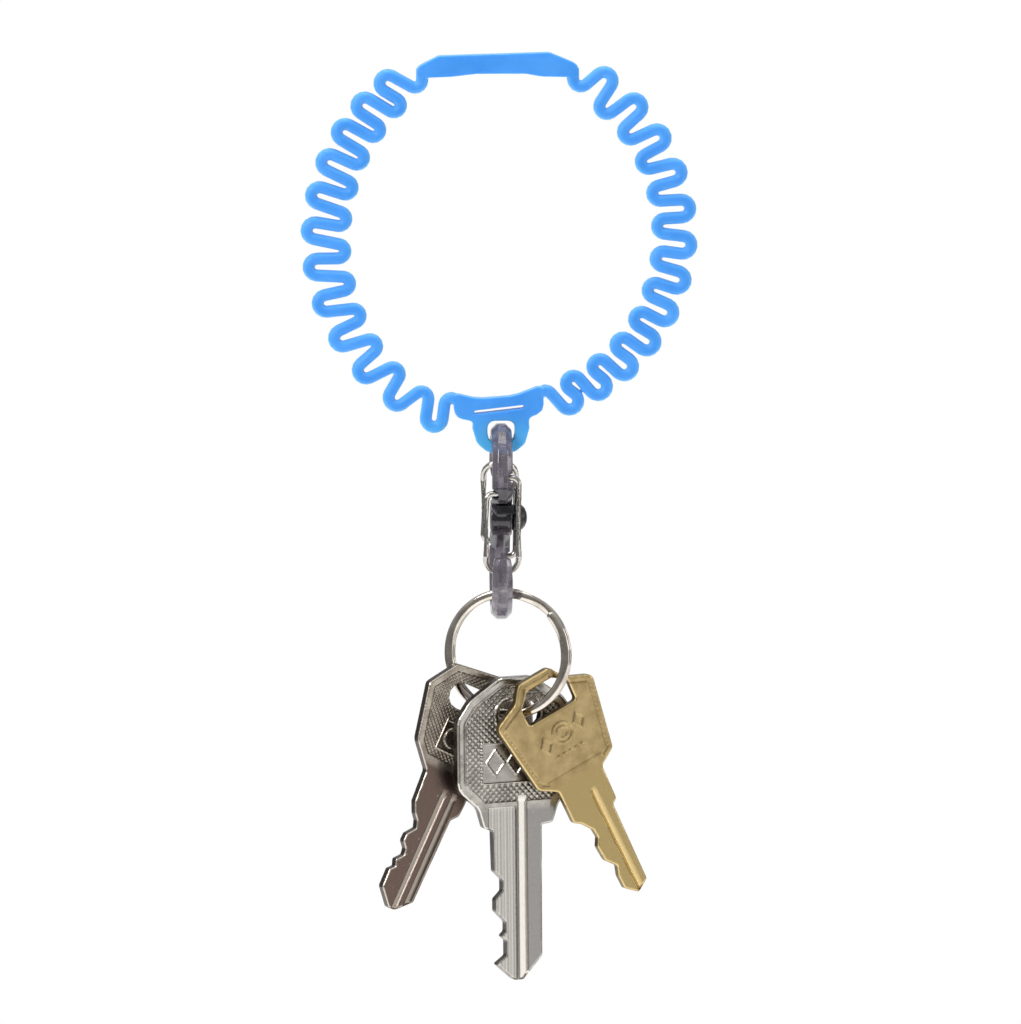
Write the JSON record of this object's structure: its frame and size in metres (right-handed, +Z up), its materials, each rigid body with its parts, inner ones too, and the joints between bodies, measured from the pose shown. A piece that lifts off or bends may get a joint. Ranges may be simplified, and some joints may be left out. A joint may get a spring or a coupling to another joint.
{
  "type": "carabiner keyring",
  "caption": "Stretch wristband whose tab carries a double-hook carabiner with wire gates and a rotary lock, with a split ring and keys hanging from it.",
  "frame": {"origin": "middle of the inner, lower face of the wristband's pad, where the band hangs over a hook or peg", "axes": "+Z up, X across the band, -Y to the front"},
  "size_m": [0.0751, 0.0164, 0.1765],
  "materials": {
    "blue_silicone": "moulded, translucent, satin",
    "smoke_plastic": "clear smoke, gloss",
    "stainless_wire": "drawn, bright",
    "black_plastic": "satin",
    "nickel_plate": "polished",
    "dark_nickel_silver": "worn",
    "bright_nickel_silver": "milled and knurled",
    "key_brass": "worn satin"
  },
  "bodies": {
    "band": {"wristband": "blue_silicone"},
    "carabiner": {"carabiner_body": "smoke_plastic"},
    "lower_gate": {"lower_gate": "stainless_wire"},
    "upper_gate": {"upper_gate": "stainless_wire"},
    "lock": {"lock_rotor": "black_plastic", "lock_retainer": "black_plastic"},
    "ring": {"split_ring": "nickel_plate"},
    "left_key": {"left_key": "dark_nickel_silver"},
    "centre_key": {"centre_key": "bright_nickel_silver"},
    "brass_key": {"brass_key": "key_brass"}
  },
  "joints": [
    {"name": "carabiner_swing", "type": "hinge", "parent": "band", "child": "carabiner", "pos_m": [0, 0, -0.068], "axis": [0, 1, 0], "range_deg": [-50, 50]},
    {"name": "lower_gate_open", "type": "hinge", "parent": "carabiner", "child": "lower_gate", "pos_m": [0, -0.00655, -0.0775], "axis": [1, 0, 0], "range_deg": [0, 15], "stiffness_Nm_per_rad": 0.01, "springref_deg": -8.59},
    {"name": "upper_gate_open", "type": "hinge", "parent": "carabiner", "child": "upper_gate", "pos_m": [0, 0.00655, -0.0909], "axis": [1, 0, 0], "range_deg": [0, 15], "stiffness_Nm_per_rad": 0.01, "springref_deg": -8.59},
    {"name": "lock_turn", "type": "hinge", "parent": "carabiner", "child": "lock", "pos_m": [0, 0, -0.0842], "axis": [-1, 0, 0], "range_deg": [-50, 0]},
    {"name": "ring_swing", "type": "hinge", "parent": "carabiner", "child": "ring", "pos_m": [0, 0, -0.09535], "axis": [1, 0, 0], "range_deg": [-40, 40]},
    {"name": "left_key_swing", "type": "hinge", "parent": "ring", "child": "left_key", "pos_m": [-0.00415, 0.00151, -0.12025], "axis": [0.3584, -0.9336, 0], "range_deg": [-10, 12]},
    {"name": "centre_key_swing", "type": "hinge", "parent": "ring", "child": "centre_key", "pos_m": [0.00255, -0.00093, -0.12173], "axis": [0.3584, -0.9336, 0], "range_deg": [-12, 12]},
    {"name": "brass_key_swing", "type": "hinge", "parent": "ring", "child": "brass_key", "pos_m": [0.00801, -0.00292, -0.11934], "axis": [0.3584, -0.9336, 0], "range_deg": [-12, 10]}
  ]
}
